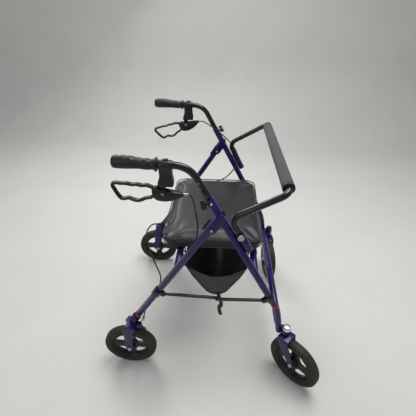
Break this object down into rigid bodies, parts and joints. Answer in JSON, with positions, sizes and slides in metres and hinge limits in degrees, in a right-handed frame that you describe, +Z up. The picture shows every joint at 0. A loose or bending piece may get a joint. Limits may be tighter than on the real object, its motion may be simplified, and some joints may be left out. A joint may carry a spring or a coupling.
{
  "type": "walking frame",
  "caption": "Folding four-wheeled walking frame with swivelling front casters, loop brake levers, padded flip-up seat, cloth bag and foam-covered backrest bar",
  "frame": {"origin": "on the floor under the middle of the object's box", "axes": "+X to the user's right, +Y forwards in the direction of travel, +Z up"},
  "size_m": [0.7049, 0.765, 0.8502],
  "materials": {
    "blue_paint": "gloss",
    "black_paint": "gloss",
    "zinc_steel": "satin",
    "grip_rubber": "satin",
    "black_plastic": "satin",
    "tyre_grey": "matte",
    "seat_vinyl": "satin",
    "back_foam": "matte",
    "bag_cloth": "matte",
    "cable_sheath": "satin"
  },
  "bodies": {
    "frame": {"front_leg_right": "blue_paint", "front_leg_left": "blue_paint", "lower_crossbar": "blue_paint", "upper_crossbar": "blue_paint", "fold_bracket_right": "blue_paint", "fold_bracket_left": "blue_paint", "backrest_socket_right": "blue_paint", "backrest_socket_left": "blue_paint", "caster_housing_right": "blue_paint", "caster_housing_left": "blue_paint", "front_brace_bracket_right": "black_paint", "front_brace_bracket_left": "black_paint", "tote_bag": "bag_cloth", "brake_cable_right": "cable_sheath", "brake_cable_left": "cable_sheath", "stem_cap_left": "black_plastic"},
    "seat": {"seat_cushion": "seat_vinyl", "seat_board": "black_plastic"},
    "rear_frame": {"rear_leg_right": "blue_paint", "rear_leg_left": "blue_paint", "rear_crossbar": "blue_paint", "rear_fork_right": "blue_paint", "rear_fork_left": "blue_paint", "rear_brace_bracket_right": "black_paint", "rear_brace_bracket_left": "black_paint", "rear_axle_bolt_right": "zinc_steel", "rear_axle_bolt_left": "zinc_steel"},
    "backrest": {"backrest_tube": "black_paint", "backrest_foam": "back_foam"},
    "caster_right": {"caster_fork_right": "blue_paint", "front_axle_bolt_right": "zinc_steel", "stem_nut_right": "zinc_steel"},
    "front_wheel_right": {"front_tyre_right": "tyre_grey", "front_hub_right": "black_plastic"},
    "rear_wheel_right": {"rear_tyre_right": "tyre_grey", "rear_hub_right": "black_plastic"},
    "front_link_right": {"front_brace_link_right": "black_paint"},
    "rear_link_right": {"rear_brace_link_right": "black_paint"},
    "brake_shoe_right": {"brake_shoe_right": "black_plastic"},
    "handle_right": {"handle_tube_right": "black_paint", "grip_right": "grip_rubber", "brake_housing_right": "black_plastic"},
    "brake_lever_right": {"brake_lever_right": "black_plastic"},
    "clamp_knob_right": {"clamp_knob_right": "black_plastic"},
    "backrest_screw_right": {"backrest_screw_right": "zinc_steel"},
    "caster_left": {"caster_fork_left": "blue_paint", "front_axle_bolt_left": "zinc_steel"},
    "front_wheel_left": {"front_tyre_left": "tyre_grey", "front_hub_left": "black_plastic"},
    "rear_wheel_left": {"rear_tyre_left": "tyre_grey", "rear_hub_left": "black_plastic"},
    "front_link_left": {"front_brace_link_left": "black_paint"},
    "rear_link_left": {"rear_brace_link_left": "black_paint"},
    "brake_shoe_left": {"brake_shoe_left": "black_plastic"},
    "handle_left": {"handle_tube_left": "black_paint", "grip_left": "grip_rubber", "brake_housing_left": "black_plastic"},
    "brake_lever_left": {"brake_lever_left": "black_plastic"},
    "clamp_knob_left": {"clamp_knob_left": "black_plastic"},
    "backrest_screw_left": {"backrest_screw_left": "zinc_steel"}
  },
  "joints": [
    {"name": "rear_fold", "type": "hinge", "parent": "frame", "child": "rear_frame", "pos_m": [-0.0416, 0.00863, 0.64278], "axis": [1, 0, 0], "range_deg": [0, 28], "deforming": ["brake_cable_right", "brake_cable_left"]},
    {"name": "seat_flip", "type": "hinge", "parent": "frame", "child": "seat", "pos_m": [-0.0416, 0.1425, 0.4727], "axis": [-1, 0, 0], "range_deg": [0, 70]},
    {"name": "backrest_lift", "type": "slide", "parent": "frame", "child": "backrest", "axis": [0, -0.4756, 0.8796], "range_m": [0, 0.04]},
    {"name": "caster_swivel_right", "type": "hinge", "parent": "frame", "child": "caster_right", "pos_m": [0.2414, 0.2715, 0.196], "axis": [0, 0, 1], "continuous": true},
    {"name": "front_wheel_spin_right", "type": "hinge", "parent": "caster_right", "child": "front_wheel_right", "pos_m": [0.27888, 0.30898, 0.095], "axis": [0.7071, -0.7071, 0], "continuous": true},
    {"name": "rear_wheel_spin_right", "type": "hinge", "parent": "rear_frame", "child": "rear_wheel_right", "pos_m": [0.2404, -0.2875, 0.095], "axis": [1, 0, 0], "continuous": true},
    {"name": "front_link_right", "type": "hinge", "parent": "frame", "child": "front_link_right", "pos_m": [0.23, 0.18074, 0.35677], "axis": [1, 0, 0], "range_deg": [-54.5, 1]},
    {"name": "rear_link_right", "type": "hinge", "parent": "rear_frame", "child": "rear_link_right", "pos_m": [0.23, -0.14854, 0.36129], "axis": [1, 0, 0], "range_deg": [-1, 37.6]},
    {"name": "brake_shoe_right", "type": "hinge", "parent": "rear_frame", "child": "brake_shoe_right", "pos_m": [0.2404, -0.2415, 0.2125], "axis": [1, 0, 0], "range_deg": [-1.3, 0], "stiffness_Nm_per_rad": 0.4},
    {"name": "handle_height_right", "type": "slide", "parent": "frame", "child": "handle_right", "axis": [0, -0.4756, 0.8796], "range_m": [-0.0254, 0.0762], "deforming": ["brake_cable_right"]},
    {"name": "brake_lever_right", "type": "hinge", "parent": "handle_right", "child": "brake_lever_right", "pos_m": [0.23, -0.1185, 0.75], "axis": [1, 0, 0], "range_deg": [-14, 22]},
    {"name": "clamp_knob_right", "type": "hinge", "parent": "frame", "child": "clamp_knob_right", "pos_m": [0.23, -0.00314, 0.71872], "axis": [0, -0.8796, -0.4756], "range_deg": [-180, 180]},
    {"name": "backrest_screw_right", "type": "hinge", "parent": "frame", "child": "backrest_screw_right", "pos_m": [0.23, 0.0897, 0.6185], "axis": [1, 0, 0], "range_deg": [-180, 180]},
    {"name": "caster_swivel_left", "type": "hinge", "parent": "frame", "child": "caster_left", "pos_m": [-0.3036, 0.2715, 0.196], "axis": [0, 0, 1], "continuous": true},
    {"name": "front_wheel_spin_left", "type": "hinge", "parent": "caster_left", "child": "front_wheel_left", "pos_m": [-0.25089, 0.27704, 0.095], "axis": [0.1045, -0.9945, 0], "continuous": true},
    {"name": "rear_wheel_spin_left", "type": "hinge", "parent": "rear_frame", "child": "rear_wheel_left", "pos_m": [-0.3236, -0.2875, 0.095], "axis": [1, 0, 0], "continuous": true},
    {"name": "front_link_left", "type": "hinge", "parent": "frame", "child": "front_link_left", "pos_m": [-0.3132, 0.18074, 0.35677], "axis": [1, 0, 0], "range_deg": [-54.5, 1]},
    {"name": "rear_link_left", "type": "hinge", "parent": "rear_frame", "child": "rear_link_left", "pos_m": [-0.3132, -0.14854, 0.36129], "axis": [1, 0, 0], "range_deg": [-1, 37.6]},
    {"name": "brake_shoe_left", "type": "hinge", "parent": "rear_frame", "child": "brake_shoe_left", "pos_m": [-0.3236, -0.2415, 0.2125], "axis": [1, 0, 0], "range_deg": [0, 1.7], "stiffness_Nm_per_rad": 0.4},
    {"name": "handle_height_left", "type": "slide", "parent": "frame", "child": "handle_left", "axis": [0, -0.4756, 0.8796], "range_m": [-0.0254, 0.0762], "deforming": ["brake_cable_left"]},
    {"name": "brake_lever_left", "type": "hinge", "parent": "handle_left", "child": "brake_lever_left", "pos_m": [-0.3132, -0.1185, 0.75], "axis": [1, 0, 0], "range_deg": [-34, 2]},
    {"name": "clamp_knob_left", "type": "hinge", "parent": "frame", "child": "clamp_knob_left", "pos_m": [-0.3132, 0.01639, 0.72928], "axis": [0, 0.8796, 0.4756], "range_deg": [-180, 180]},
    {"name": "backrest_screw_left", "type": "hinge", "parent": "frame", "child": "backrest_screw_left", "pos_m": [-0.3132, 0.0897, 0.6185], "axis": [-1, 0, 0], "range_deg": [-180, 180]}
  ],
  "couplings": [
    {"joint": "front_link_right", "follows": "rear_fold", "ratio": -1.912},
    {"joint": "rear_link_right", "follows": "rear_fold", "ratio": 1.306},
    {"joint": "front_link_left", "follows": "rear_fold", "ratio": -1.912},
    {"joint": "rear_link_left", "follows": "rear_fold", "ratio": 1.306}
  ]
}
